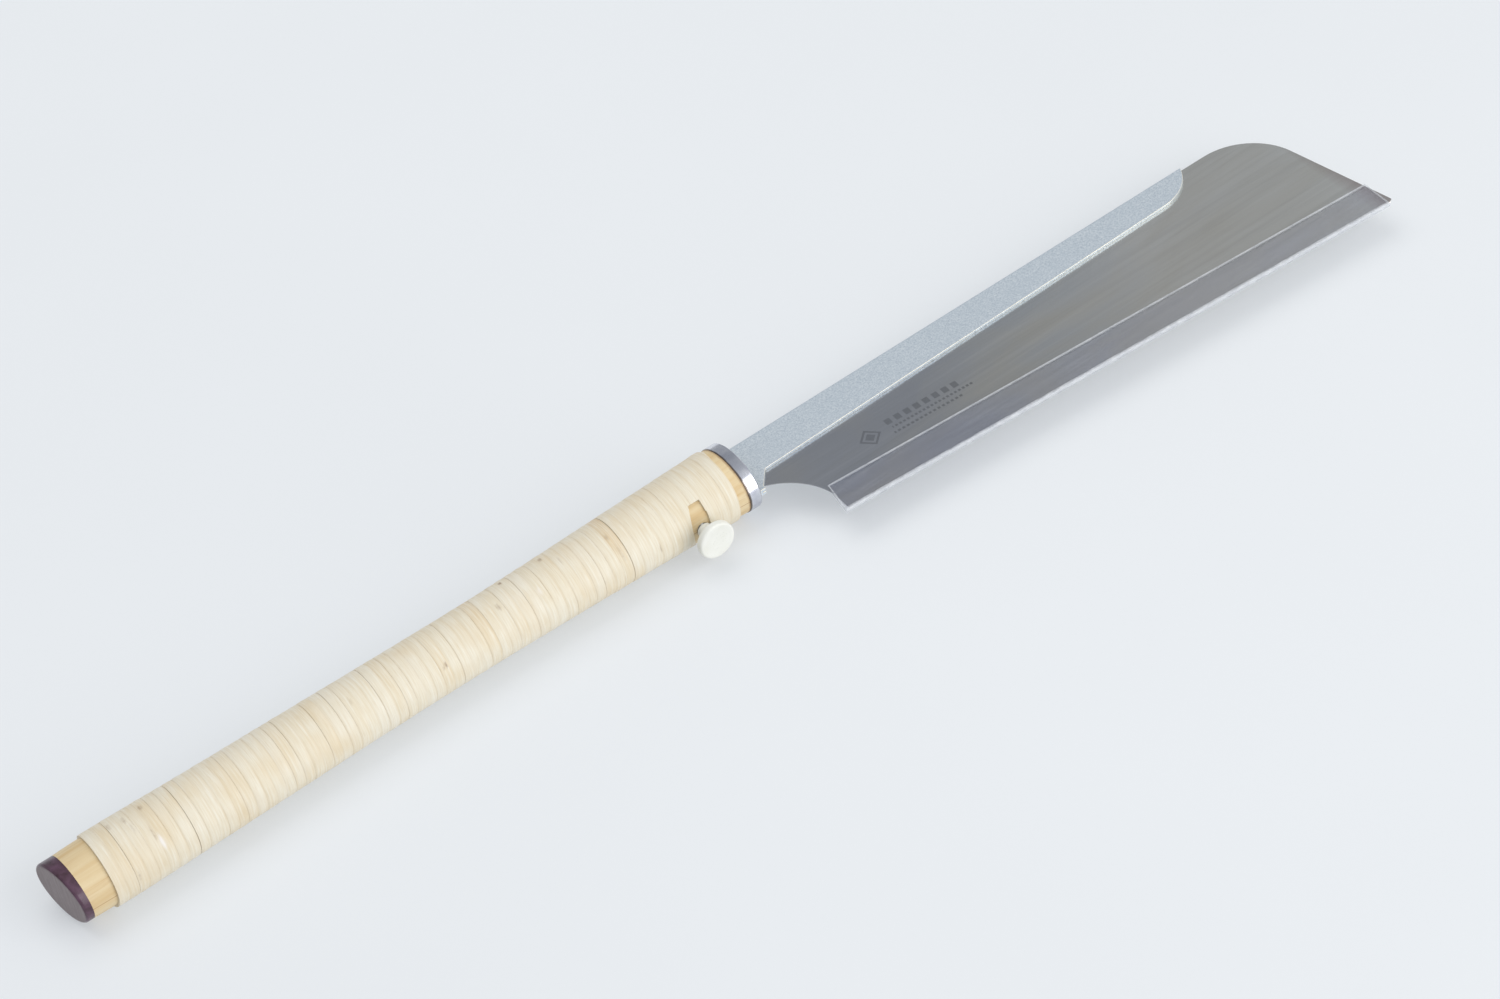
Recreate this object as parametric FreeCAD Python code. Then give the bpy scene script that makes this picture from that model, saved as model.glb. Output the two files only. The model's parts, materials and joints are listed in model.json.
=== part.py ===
import FreeCAD, Part
import math
import os

Vec = FreeCAD.Vector

# Japanese back saw with a replaceable blade, lying on its side. All sizes are in millimetres.
# While it is being built, X runs along the handle towards the toe, with zero at the front of the ferrule.
# Y runs across the blade, with the teeth on the -Y side. Z is the blade's normal, with zero in its mid-plane.
# Every piece is moved at the end, so that the origin is under the middle of the whole saw.

# Handle core: two glued wooden halves, oval in section and slightly waisted
core_rear_x = -275.6
core_front_x = -0.5
core_stations = [  # place along the handle, half width, and how far the middle bows towards the back of the saw
    (core_rear_x, 13.75, 1.3),
    (-235.0, 13.6, 1.1),
    (-200.0, 13.0, 1.1),
    (-150.0, 12.3, 1.0),
    (-105.0, 12.2, 0.65),
    (-60.0, 13.1, 0.5),
    (-30.0, 13.8, 0.35),
    (-5.0, 14.8, 0.0),
]
section_ratio = 0.79  # thickness over width of the core's sections

# Cane wrap, in four lengths of strip
wrap_thickness = 1.05
wrap_gap = 0.03  # glue under the cane
wrap_rear_x = -265.9
wrap_front_x = -9.2
wrap_seams = [-233.6, -109.6, -54.0]
wrap_names = ["butt", "rear", "middle", "front"]
seam_gap = 0.3
window_front_x = -21.8
window_top_rear_x = -26.4
window_rear_x = -29.2
window_top_y = -9.3
window_wide_y = -14.5

# Ferrule
ferrule_length = 5.0
ferrule_half_width = 15.2
ferrule_half_thickness = 11.7
ferrule_wall = 0.6
ferrule_edge_chamfer = 0.25

# End cap, with a slanted end face and a spigot in the core
cap_half_width = 13.85
cap_half_thickness = 10.75
cap_middle_y = 1.3
cap_end_x = -280.4
cap_slant = 7.0  # degrees
cap_edge_radius = 1.2
spigot_radius = 6.0
spigot_length = 10.0

# Blade plate and its teeth
blade_thickness = 0.3
tooth_slope = 3.92  # degrees between the tooth line and the handle
tooth_count = 200
tooth_pitch = 1.2
tooth_depth = 0.8
tooth_lean = 0.35  # place of the tip along the pitch, from the heel
heel = Vec(17.9, -42.2, 0)
toe_margin = 0.9
toe_slant = 8.3  # degrees that the toe edge leans back
back_corner_radius = 24.5
toe_tip_radius = 0.7
blade_back_y = 10.8
blade_root_x = 1.2
neck_points = [(1.2, -11.0), (12.0, -18.5), (17.0, -26.9), (18.4, -33.5)]

# Spine: sheet folded over the back of the blade, with its tang
spine_thickness = 2.7
spine_top_y = 11.8
spine_fold_radius = 1.25
spine_end_x = 216.1
spine_end_radius = 20.0
spine_end_low = (197.5, -1.0)
spine_heel_low = (8.3, -6.1)
flange_low = (2.5, -13.0)
flange_lip_y = -14.2
shoulder_x = 0.25
tang_length = 50.0
tang_low_y = -5.5
tang_bevel = 3.0

# Tooth guard: clear U channel, in the tooth line's own directions
guard_wall = 0.55
guard_gap = 0.7
guard_below_teeth = 1.2
guard_height = 15.0
guard_heel_overhang = 1.6
guard_heel_slant = 7.0  # degrees
guard_toe_s = 238.4

# Socket in the handle, and the clamp that holds the tang in it
liner_wall = 0.6
liner_inside_thickness = 3.0
liner_inside_top_y = 12.1
liner_inside_low_y = -9.3
liner_rear_x = -58.0
liner_front_x = -0.6
liner_pin_radius = 1.5
liner_pin_x = -53.5
liner_pin_y = 1.3
liner_pin_length = 20.0
screw_x = -24.8
screw_radius = 2.0
screw_clearance = 0.05
screw_hole_radius = 2.4
screw_point_radius = 1.2  # the screw ends in a plain point that fits between the socket's walls
nut_side = 7.0
nut_thickness = 2.4
shoe_length = 14.0
shoe_thickness = 2.0
shoe_side_gap = 0.1
clamp_gap = 0.05
knob_face_y = -22.5
knob_radius = 7.25
knob_thickness = 2.8
knob_edge_radius = 0.8
knob_hub_radius = 2.8
knob_hub_length = 5.7
knob_cover = 1.4  # plastic over the end of the screw


def oval(x, middle_y, half_width, half_thickness):
    """Closed oval wire across the handle."""
    centre = Vec(x, middle_y, 0)
    curve = Part.Ellipse(Vec(x, middle_y + half_width, 0), Vec(x, middle_y, half_thickness), centre)
    return Part.Wire([curve.toShape()])


def oval_bar(rear_x, front_x, middle_y, half_width, half_thickness):
    """Straight solid of oval section."""
    face = Part.Face(oval(rear_x, middle_y, half_width, half_thickness))
    return face.extrude(Vec(front_x - rear_x, 0, 0))


def half_oval(x, middle_y, half_width, half_thickness, side):
    """Upper (side 1) or lower (side -1) half of the oval, closed along the glue line."""
    low = Vec(x, middle_y - half_width, 0)
    high = Vec(x, middle_y + half_width, 0)
    curve = Part.Ellipse(high, Vec(x, middle_y, side * half_thickness), Vec(x, middle_y, 0))
    arc = Part.ArcOfEllipse(curve, 0, math.pi).toShape()
    return Part.Wire([arc, Part.makeLine(low, high)])


def waisted_solid(extra):
    """The core's waisted shape, grown all round by extra."""
    wires = [oval(x, bow, half + extra, half * section_ratio + extra) for x, half, bow in core_stations]
    return Part.makeLoft(wires, True, False)


def block(x0, x1, y0, y1, z0, z1):
    return Part.makeBox(x1 - x0, y1 - y0, z1 - z0, Vec(x0, y0, z0))


def plate(wire, thickness):
    """Flat solid from a closed outline at Z = 0, half on each side of it."""
    face = Part.Face(wire)
    face.translate(Vec(0, 0, -thickness / 2))
    return face.extrude(Vec(0, 0, thickness))


def across_rod(radius, x, y_from, y_to):
    """Rod along Y."""
    return Part.makeCylinder(radius, y_to - y_from, Vec(x, y_from, 0), Vec(0, 1, 0))


def tooth_line(s, n=0.0):
    """Point at s along the tooth tips from the heel, and n towards the back of the blade."""
    slope = math.radians(tooth_slope)
    along = Vec(math.cos(slope), -math.sin(slope), 0)
    inward = Vec(math.sin(slope), math.cos(slope), 0)
    return heel + along * s + inward * n


def liner_box(margin):
    """Inside of the socket, grown by margin towards the wood."""
    return block(
        liner_rear_x, liner_front_x,
        liner_inside_low_y - margin, liner_inside_top_y + margin,
        -liner_inside_thickness / 2 - margin, liner_inside_thickness / 2 + margin,
    )


def make_socket_liner():
    tube = liner_box(liner_wall).cut(liner_box(0))
    screw_hole = across_rod(screw_radius + screw_clearance, screw_x, -20, liner_inside_low_y)
    return tube.cut(screw_hole).cut(pin_rod(0.01))


def pin_rod(extra):
    start = Vec(liner_pin_x, liner_pin_y, -liner_pin_length / 2 - extra)
    return Part.makeCylinder(liner_pin_radius + extra, liner_pin_length + 2 * extra, start)


def nut_block():
    top_y = liner_inside_low_y - liner_wall
    half = nut_side / 2
    return block(screw_x - half, screw_x + half, top_y - nut_thickness, top_y, -half, half)


def make_clamp_nut():
    bore = across_rod(screw_radius + screw_clearance, screw_x, -20, 0)
    nut = nut_block()
    corners = [e for e in nut.Edges if abs(e.tangentAt(e.FirstParameter).y) > 0.9]
    return nut.makeChamfer(0.8, corners).cut(bore)


def make_core_half(side):
    """Half of the wooden core: the glue line lies in the blade's plane."""
    wires = [half_oval(x, bow, half, half * section_ratio, side) for x, half, bow in core_stations]
    seat_wire = half_oval(
        -ferrule_length, 0, ferrule_half_width - ferrule_wall, ferrule_half_thickness - ferrule_wall, side,
    )
    seat = Part.Face(seat_wire).extrude(Vec(core_front_x + ferrule_length, 0, 0))
    half = Part.makeLoft(wires, True, False).fuse(seat)
    spigot_hole = Part.makeCylinder(
        spigot_radius + 0.02, spigot_length + 0.5, Vec(core_rear_x, cap_middle_y, 0), Vec(1, 0, 0),
    )
    mouth = block(
        liner_front_x - 1, 1, liner_inside_low_y, liner_inside_top_y,
        -liner_inside_thickness / 2, liner_inside_thickness / 2,
    )
    screw_hole = across_rod(screw_hole_radius, screw_x, -20, liner_inside_low_y)
    for cutter in (spigot_hole, liner_box(liner_wall), mouth, nut_block(), screw_hole, pin_rod(0.01)):
        half = half.cut(cutter)
    return half


def make_wraps():
    """One tube of cane, cut at the seams, with the window for the screw in the front length."""
    tube = waisted_solid(wrap_thickness).cut(waisted_solid(wrap_gap))
    corners = [
        (window_front_x, window_top_y),
        (window_top_rear_x, window_top_y),
        (window_rear_x, window_wide_y),
        (window_rear_x, -30),
        (window_front_x, -30),
        (window_front_x, window_top_y),
    ]
    window = plate(Part.makePolygon([Vec(x, y, 0) for x, y in corners]), 60)
    tube = tube.cut(window)
    ends = [wrap_rear_x - seam_gap / 2] + wrap_seams + [wrap_front_x + seam_gap / 2]
    wraps = {}
    for name, rear, front in zip(wrap_names, ends, ends[1:]):
        band = block(rear + seam_gap / 2, front - seam_gap / 2, -40, 40, -40, 40)
        wraps["rattan_wrap_" + name] = tube.common(band)
    return wraps


def make_ferrule():
    outer = oval_bar(-ferrule_length, 0, 0, ferrule_half_width, ferrule_half_thickness)
    rims = [e for e in outer.Edges if abs(e.BoundBox.XLength) < 0.01]
    outer = outer.makeChamfer(ferrule_edge_chamfer, rims)
    inside = oval_bar(
        -ferrule_length - 1, 1, 0, ferrule_half_width - ferrule_wall, ferrule_half_thickness - ferrule_wall,
    )
    return outer.cut(inside)


def make_end_cap():
    body = oval_bar(cap_end_x - 5, core_rear_x, cap_middle_y, cap_half_width, cap_half_thickness)
    trimmer = Part.makeBox(20, 80, 80, Vec(-20, -40, -40))
    trimmer.rotate(Vec(0, 0, 0), Vec(0, 0, 1), cap_slant)
    trimmer.translate(Vec(cap_end_x, cap_middle_y, 0))
    body = body.cut(trimmer)
    rims = [e for e in body.Edges if e.BoundBox.XMax < core_rear_x - 1 and e.BoundBox.YLength > cap_half_width]
    body = body.makeFillet(cap_edge_radius, rims)
    spigot = Part.makeCylinder(
        spigot_radius, spigot_length + 1, Vec(core_rear_x - 1, cap_middle_y, 0), Vec(1, 0, 0),
    )
    return body.fuse(spigot)


def tooth_edges():
    """Saw teeth from the heel to the toe, leaning back to cut on the pull stroke."""
    points = [tooth_line(0, tooth_depth)]
    for i in range(tooth_count):
        points.append(tooth_line((i + tooth_lean) * tooth_pitch))
        points.append(tooth_line((i + 1) * tooth_pitch, tooth_depth))
    points.append(tooth_line(tooth_count * tooth_pitch + toe_margin, tooth_depth))
    return [Part.makeLine(a, b) for a, b in zip(points, points[1:])], points[0], points[-1]


def make_saw_blade():
    teeth, heel_corner, toe_corner = tooth_edges()
    slant = math.radians(toe_slant)
    outward = Vec(math.cos(slant), math.sin(slant), 0)
    centre_y = blade_back_y - back_corner_radius
    inset = back_corner_radius + (centre_y - toe_corner.y) * math.sin(slant)
    centre = Vec(toe_corner.x - inset / math.cos(slant), centre_y, 0)
    halfway = math.radians(45 + toe_slant / 2)
    arc_toe = centre + outward * back_corner_radius
    arc_mid = centre + Vec(math.cos(halfway), math.sin(halfway), 0) * back_corner_radius
    arc_back = centre + Vec(0, back_corner_radius, 0)
    root_top = Vec(blade_root_x, blade_back_y - 0.2, 0)
    neck = Part.BSplineCurve()
    neck.interpolate([Vec(x, y, 0) for x, y in neck_points])
    neck_start = Vec(*neck_points[0], 0)
    neck_end = Vec(*neck_points[-1], 0)
    edges = [
        Part.makeLine(root_top, neck_start),
        neck.toShape(),
        Part.makeLine(neck_end, heel_corner),
        *teeth,
        Part.makeLine(toe_corner, arc_toe),
        Part.Arc(arc_toe, arc_mid, arc_back).toShape(),
        Part.makeLine(arc_back, Vec(spine_end_x - 2, blade_back_y, 0)),
        Part.makeLine(Vec(spine_end_x - 2, blade_back_y, 0), Vec(spine_end_x - 4, blade_back_y - 0.2, 0)),
        Part.makeLine(Vec(spine_end_x - 4, blade_back_y - 0.2, 0), root_top),
    ]
    body = plate(Part.Wire(edges), blade_thickness)
    tip = [
        e for e in body.Edges
        if e.BoundBox.ZLength > blade_thickness / 2
        and abs(e.BoundBox.XMin - toe_corner.x) < 0.01 and abs(e.BoundBox.YMin - toe_corner.y) < 0.01
    ]
    return body.makeFillet(toe_tip_radius, tip)


def make_spine():
    low_x, low_y = spine_end_low
    centre_y = low_y + spine_end_radius
    end_angle = math.asin((spine_top_y - centre_y) / spine_end_radius)
    mid_angle = (end_angle - math.pi / 2) / 2
    end_top = Vec(low_x + spine_end_radius * math.cos(end_angle), spine_top_y, 0)
    end_mid = Vec(
        low_x + spine_end_radius * math.cos(mid_angle), centre_y + spine_end_radius * math.sin(mid_angle), 0,
    )
    end_low = Vec(low_x, low_y, 0)
    rest = [
        (low_x, low_y),
        spine_heel_low,
        flange_low,
        (flange_low[0], flange_lip_y),
        (shoulder_x, flange_lip_y),
        (shoulder_x, tang_low_y),
        (-tang_length + tang_bevel, tang_low_y),
        (-tang_length, tang_low_y + tang_bevel),
        (-tang_length, spine_top_y - tang_bevel),
        (-tang_length + tang_bevel, spine_top_y),
        (end_top.x, spine_top_y),
    ]
    points = [Vec(x, y, 0) for x, y in rest]
    edges = [Part.makeLine(a, b) for a, b in zip(points, points[1:])]
    edges.append(Part.Arc(end_top, end_mid, end_low).toShape())
    body = plate(Part.Wire(edges), spine_thickness)
    fold = [
        e for e in body.Edges
        if e.BoundBox.YMin > spine_top_y - 0.01 and e.BoundBox.XLength > 100
    ]
    body = body.makeFillet(spine_fold_radius, fold)
    pinch = block(
        blade_root_x, spine_end_x + 5, -30, blade_back_y, -blade_thickness / 2, blade_thickness / 2,
    )
    return body.cut(pinch)


def guard_section(half_width, low_n, top_n):
    """Closed U outline with a round bottom, across the tooth line at its heel end."""
    across = Vec(0, 0, 1)
    start_s = -guard_heel_overhang - 3
    def at(n, z):
        return tooth_line(start_s, n) + across * z
    corner_n = low_n + half_width
    left_top = at(top_n, -half_width)
    left_low = at(corner_n, -half_width)
    right_low = at(corner_n, half_width)
    right_top = at(top_n, half_width)
    return Part.Wire([
        Part.makeLine(left_top, left_low),
        Part.Arc(left_low, at(low_n, 0), right_low).toShape(),
        Part.makeLine(right_low, right_top),
        Part.makeLine(right_top, left_top),
    ])


def make_tooth_guard():
    top_n = guard_height - guard_below_teeth
    inner_half = guard_gap / 2
    run = tooth_line(guard_toe_s) - tooth_line(-guard_heel_overhang - 3)
    outer = Part.Face(guard_section(inner_half + guard_wall, -guard_below_teeth, top_n)).extrude(run)
    inner = Part.Face(guard_section(inner_half, -guard_below_teeth + guard_wall, top_n + 1)).extrude(run)
    guard = outer.cut(inner)
    trimmer = Part.makeBox(20, 60, 20, Vec(-20, -30, -10))
    trimmer.rotate(Vec(0, 0, 0), Vec(0, 0, 1), -tooth_slope - guard_heel_slant)
    trimmer.translate(tooth_line(-guard_heel_overhang, -guard_below_teeth))
    return guard.cut(trimmer)


def make_clamp_shoe():
    half = liner_inside_thickness / 2 - shoe_side_gap
    top_y = tang_low_y - clamp_gap
    shoe = block(
        screw_x - shoe_length / 2, screw_x + shoe_length / 2, top_y - shoe_thickness, top_y, -half, half,
    )
    ends = [e for e in shoe.Edges if abs(e.tangentAt(e.FirstParameter).y) > 0.9]
    return shoe.makeChamfer(0.5, ends)


def make_clamp_screw():
    tip_y = tang_low_y - 2 * clamp_gap - shoe_thickness
    thread_end_y = liner_inside_low_y - clamp_gap
    shank = across_rod(screw_radius, screw_x, knob_face_y + knob_cover, thread_end_y)
    end_rim = [e for e in shank.Edges if e.BoundBox.YMin > thread_end_y - 0.01]
    shank = shank.makeChamfer(0.5, end_rim)
    return shank.fuse(across_rod(screw_point_radius, screw_x, thread_end_y - 1, tip_y))


def make_clamp_knob():
    disc = across_rod(knob_radius, screw_x, knob_face_y, knob_face_y + knob_thickness)
    rims = [e for e in disc.Edges if abs(e.BoundBox.YLength) < 0.01]
    disc = disc.makeFillet(knob_edge_radius, rims)
    hub_from = knob_face_y + knob_thickness - 0.5
    hub = across_rod(knob_hub_radius, screw_x, hub_from, hub_from + 0.5 + knob_hub_length)
    bore = across_rod(screw_radius + 0.01, screw_x, knob_face_y + knob_cover, 0)
    return disc.fuse(hub).cut(bore)


nodes = {
    "handle_half_upper": make_core_half(1),
    "handle_half_lower": make_core_half(-1),
    "ferrule": make_ferrule(),
    "end_cap": make_end_cap(),
    "socket_liner": make_socket_liner(),
    "liner_pin": pin_rod(0),
    "clamp_nut": make_clamp_nut(),
    "clamp_shoe": make_clamp_shoe(),
    "clamp_screw": make_clamp_screw(),
    "clamp_knob": make_clamp_knob(),
    "spine": make_spine(),
    "saw_blade": make_saw_blade(),
    "tooth_guard": make_tooth_guard(),
    **make_wraps(),
}

# The saw lies on its side: the origin goes under the middle of its outline, with the lowest point at Z = 0
limits = FreeCAD.BoundBox()
for shape in nodes.values():
    limits.add(shape.optimalBoundingBox(False))
shift = Vec(-limits.Center.x, -limits.Center.y, -limits.ZMin)

os.makedirs("parts", exist_ok=True)
for name, shape in nodes.items():
    shape.translate(shift)
    shape.exportStep("parts/" + name + ".step")

# Places that a user of the model needs
print("shift", shift)
print("overall size", limits.XLength, limits.YLength, limits.ZLength)
print("clamp screw axis", Vec(screw_x, knob_face_y, 0) + shift)
print("end face centre", Vec(cap_end_x, cap_middle_y, 0) + shift)
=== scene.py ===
import json
import math

import bmesh
import bpy
import numpy as np
from mathutils import Matrix, Vector, noise
from mathutils.bvhtree import BVHTree


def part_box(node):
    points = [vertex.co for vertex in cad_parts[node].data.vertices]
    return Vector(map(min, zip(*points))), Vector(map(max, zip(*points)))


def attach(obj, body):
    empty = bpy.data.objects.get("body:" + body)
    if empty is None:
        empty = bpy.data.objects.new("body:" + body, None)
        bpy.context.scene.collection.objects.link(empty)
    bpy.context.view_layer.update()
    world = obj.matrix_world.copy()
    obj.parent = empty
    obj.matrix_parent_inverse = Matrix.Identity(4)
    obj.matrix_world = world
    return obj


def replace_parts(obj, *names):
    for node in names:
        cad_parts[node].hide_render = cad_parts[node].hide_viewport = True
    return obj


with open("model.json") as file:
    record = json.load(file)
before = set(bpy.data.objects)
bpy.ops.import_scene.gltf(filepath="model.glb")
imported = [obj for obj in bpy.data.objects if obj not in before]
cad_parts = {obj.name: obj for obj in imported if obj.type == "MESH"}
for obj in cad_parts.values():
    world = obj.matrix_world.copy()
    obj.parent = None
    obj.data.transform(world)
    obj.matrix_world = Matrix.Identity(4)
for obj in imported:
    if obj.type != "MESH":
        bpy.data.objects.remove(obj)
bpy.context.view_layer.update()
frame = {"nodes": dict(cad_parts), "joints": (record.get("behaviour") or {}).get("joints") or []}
MM = 0.001
WELD = 0.002 * MM  # corners of a CAD mesh that are closer than this are one

# ---- Places, all from the frame

ferrule_low, ferrule_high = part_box("ferrule")
AXIS_Y = (ferrule_low.y + ferrule_high.y) / 2
AXIS_Z = (ferrule_low.z + ferrule_high.z) / 2
FERRULE_FRONT = ferrule_high.x
screw_low, screw_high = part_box("clamp_screw")
SCREW_X = (screw_low.x + screw_high.x) / 2
guard_axis = next(j["axis"] for j in frame["joints"] if j["name"] == "guard_pull")
INWARD = -Vector(guard_axis).normalized()
ALONG = Vector((INWARD.y, -INWARD.x, 0))


def cad_points(node):
    """Corners of a CAD node's mesh as an array of rows."""
    mesh = frame["nodes"][node].data
    flat = np.empty(len(mesh.vertices) * 3)
    mesh.vertices.foreach_get("co", flat)
    return flat.reshape(-1, 3)


def reach(node, direction):
    """Least and greatest distance of a CAD node along a direction from the origin."""
    distance = cad_points(node) @ np.array(direction)
    return distance.min(), distance.max()


# ---- Materials

def srgb(red, green, blue):
    """Linear colour from the numbers 0 to 255 that a colour picker shows."""
    linear = [((c / 255 + 0.055) / 1.055) ** 2.4 for c in (red, green, blue)]
    return (*linear, 1.0)


class Look:
    """A node material. Constant values sit on the shader's own sockets; textures are added on top."""

    def __init__(self, name, colour, **values):
        self.material = bpy.data.materials.new(name)
        self.material.use_nodes = True
        self.tree = self.material.node_tree
        self.shader = self.tree.nodes["Principled BSDF"]
        self.shader.inputs["Base Color"].default_value = colour
        for socket, value in values.items():
            self.shader.inputs[socket.replace("_", " ").title().replace("Ior", "IOR")].default_value = value

    def node(self, kind, links=(), **settings):
        """New node; links are pairs of an input's name or number and the socket that feeds it."""
        made = self.tree.nodes.new("ShaderNode" + kind)
        for key, value in settings.items():
            setattr(made, key, value)
        for socket, source in links:
            if hasattr(source, "is_output"):
                self.tree.links.new(source, made.inputs[socket])
            else:
                made.inputs[socket].default_value = source
        return made

    def place(self, scale, uv=None):
        """Object coordinates, or a named UV map in metres, stretched by scale per metre."""
        if uv:
            source = self.node("UVMap", uv_map=uv).outputs["UV"]
        else:
            source = self.node("TexCoord").outputs["Object"]
        return self.node("Mapping", [("Vector", source), ("Scale", scale)]).outputs["Vector"]

    def noise(self, scale, detail=3.0, rough=0.55, uv=None, distort=0.0):
        links = [("Vector", self.place(scale, uv)), ("Scale", 1.0), ("Detail", detail)]
        links += [("Roughness", rough), ("Distortion", distort)]
        return self.node("TexNoise", links).outputs["Fac"]

    def ramp(self, fac, *stops):
        """Colour ramp from pairs of position and colour."""
        made = self.node("ValToRGB", [("Fac", fac)])
        points = made.color_ramp.elements
        points[0].position, points[0].color = stops[0]
        points[1].position, points[1].color = stops[-1]
        for position, colour in stops[1:-1]:
            points.new(position).color = colour
        return made.outputs["Color"]

    def span(self, fac, low, high, to_low, to_high):
        """Rescales a number, clamped at both ends."""
        links = [("Value", fac), ("From Min", low), ("From Max", high)]
        links += [("To Min", to_low), ("To Max", to_high)]
        return self.node("MapRange", links).outputs["Result"]

    def maths(self, operation, a, b=0.0):
        return self.node("Math", [(0, a), (1, b)], operation=operation).outputs["Value"]

    def mix(self, fac, a, b, blend="MIX"):
        links = [("Fac", fac), ("Color1", a), ("Color2", b)]
        return self.node("MixRGB", links, blend_type=blend).outputs["Color"]

    def attribute(self, name):
        """A number that the mesh carries for each corner or face."""
        return self.node("Attribute", attribute_name=name).outputs["Fac"]

    def normal(self):
        return self.node("NewGeometry").outputs["Normal"]

    def coordinate(self, axis):
        """One of the object's coordinates, in metres."""
        source = self.node("TexCoord").outputs["Object"]
        return self.node("SeparateXYZ", [("Vector", source)]).outputs[axis]

    def dot(self, vector, way):
        """How far a vector goes along a fixed direction."""
        return self.node("VectorMath", [(0, vector), (1, way)], operation="DOT_PRODUCT").outputs["Value"]

    def use(self, socket, source):
        self.tree.links.new(source, self.shader.inputs[socket])

    def bump(self, height, depth, strength=1.0):
        """Adds a bump of the given depth in metres on top of any bump that is already there."""
        links = [("Height", height), ("Distance", depth), ("Strength", strength)]
        before = self.shader.inputs["Normal"].links
        if before:
            links.append(("Normal", before[0].from_socket))
        self.use("Normal", self.node("Bump", links).outputs["Normal"])


def cane_look():
    """Split cane: a low sheen, long fibres, slightly darker edges, a tone for each stretch, and scars."""
    look = Look("cane", srgb(222, 214, 194), roughness=0.45)
    look.shader.inputs["Specular IOR Level"].default_value = 0.35
    tone, edge, mark = (look.attribute(name) for name in ("tone", "edge", "mark"))
    fibres = look.noise((60, 1500, 1), detail=3, uv="strip")
    threads = look.noise((150, 5200, 1), detail=2, uv="strip")
    patches = look.noise((45, 45, 45), detail=2)
    crumbs = look.noise((900, 900, 900), detail=3)
    body = look.ramp(
        tone,
        (0.0, srgb(209, 186, 150)), (0.3, srgb(217, 203, 175)), (0.6, srgb(221, 212, 191)),
        (1.0, srgb(226, 220, 206)),
    )
    body = look.mix(look.span(fibres, 0.4, 0.7, 0.0, 0.6), body, srgb(232, 229, 218))
    body = look.mix(look.span(threads, 0.3, 0.5, 0.3, 0.0), body, srgb(196, 174, 134))
    body = look.mix(look.span(patches, 0.5, 0.75, 0.0, 0.45), body, srgb(214, 194, 159))
    body = look.mix(look.span(edge, 0.0, 1.0, 0.0, 0.16), body, srgb(196, 170, 126))
    crumbled = look.span(crumbs, 0.35, 0.6, 0.45, 1.0)
    scar = look.maths("MULTIPLY", look.span(mark, 0.0, 0.9, 0.0, 0.8), crumbled)
    body = look.mix(scar, body, srgb(138, 108, 76))
    body = look.mix(look.span(mark, -0.8, 0.0, 0.8, 0.0), body, srgb(236, 232, 230))
    look.use("Base Color", body)
    look.use("Roughness", look.span(fibres, 0.3, 0.7, 0.55, 0.4))
    look.bump(fibres, 0.05 * MM)
    look.bump(threads, 0.02 * MM)
    return look.material


def wood_look():
    """Pale straight-grained softwood with a dark glue line in the blade's plane and painted shade by the
    ferrule.
    """
    glue_line, glue_stain = 0.05 * MM, 0.22 * MM
    ferrule_shade_width, ragged = 0.8 * MM, 0.25 * MM
    look = Look("wood", srgb(215, 195, 155), roughness=0.55)
    rings = look.noise((5, 210, 260), detail=3, distort=0.6)
    pores = look.noise((60, 1800, 1800), detail=2)
    body = look.ramp(
        rings, (0.3, srgb(205, 177, 130)), (0.5, srgb(215, 194, 154)), (0.75, srgb(221, 204, 168)),
    )
    body = look.mix(look.span(pores, 0.55, 0.75, 0.0, 0.25), body, srgb(180, 140, 92))
    from_glue = look.maths("ABSOLUTE", look.maths("SUBTRACT", look.coordinate("Z"), AXIS_Z))
    body = look.mix(look.span(from_glue, glue_line, glue_stain, 0.6, 0.0), body, srgb(150, 104, 60))
    seat = ferrule_low.x
    # Painted shade: the wood darkens towards the ferrule's seat, as the shadow in the gap under the ferrule's
    # rear edge.
    ferrule_shade_place = look.maths("ADD", look.coordinate("X"), look.span(rings, 0.3, 0.7, -ragged, ragged))
    body = look.mix(look.span(ferrule_shade_place, seat - ferrule_shade_width, seat, 0.0, 0.75), body, srgb(128, 92, 54))
    look.use("Base Color", body)
    look.use("Roughness", look.span(rings, 0.3, 0.7, 0.62, 0.48))
    look.bump(rings, 0.08 * MM)
    look.bump(pores, 0.03 * MM)
    return look.material


def plated_look():
    """Bright plated steel with hairline scratches round the ring, a painted dark reflection on its shoulder and
    painted shade along its rear edge.
    """
    dim_reflection_way = (0.0, -0.25, 0.968)
    gap_shade_full, gap_shade_end, ragged = 0.45 * MM, 0.75 * MM, 0.15 * MM
    look = Look("plated_steel", srgb(208, 211, 216), metallic=1.0, roughness=0.14)
    scratches = look.noise((9000, 160, 160), detail=3)
    cloud = look.noise((150, 150, 150), detail=3)
    body = look.ramp(cloud, (0.3, srgb(192, 194, 206)), (0.7, srgb(232, 234, 238)))
    # Painted reflection: faces turned this way are darkened as if they mirrored a dim part of the room.
    painted_reflection_mask = look.span(look.dot(look.normal(), dim_reflection_way), 0.95, 0.99, 0.0, 0.45)
    body = look.mix(painted_reflection_mask, body, srgb(122, 128, 146))
    # Painted shade: the rear edge is darkened where it meets the wood, as the shadow in the gap.
    place = look.maths("ADD", look.coordinate("X"), look.span(cloud, 0.3, 0.7, -ragged, ragged))
    rear = look.span(place, ferrule_low.x + gap_shade_full, ferrule_low.x + gap_shade_end, 0.9, 0.0)
    body = look.mix(rear, body, srgb(98, 84, 70))
    look.use("Base Color", body)
    look.use("Roughness", look.span(scratches, 0.35, 0.7, 0.10, 0.26))
    look.bump(scratches, 0.006 * MM)
    return look.material


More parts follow.
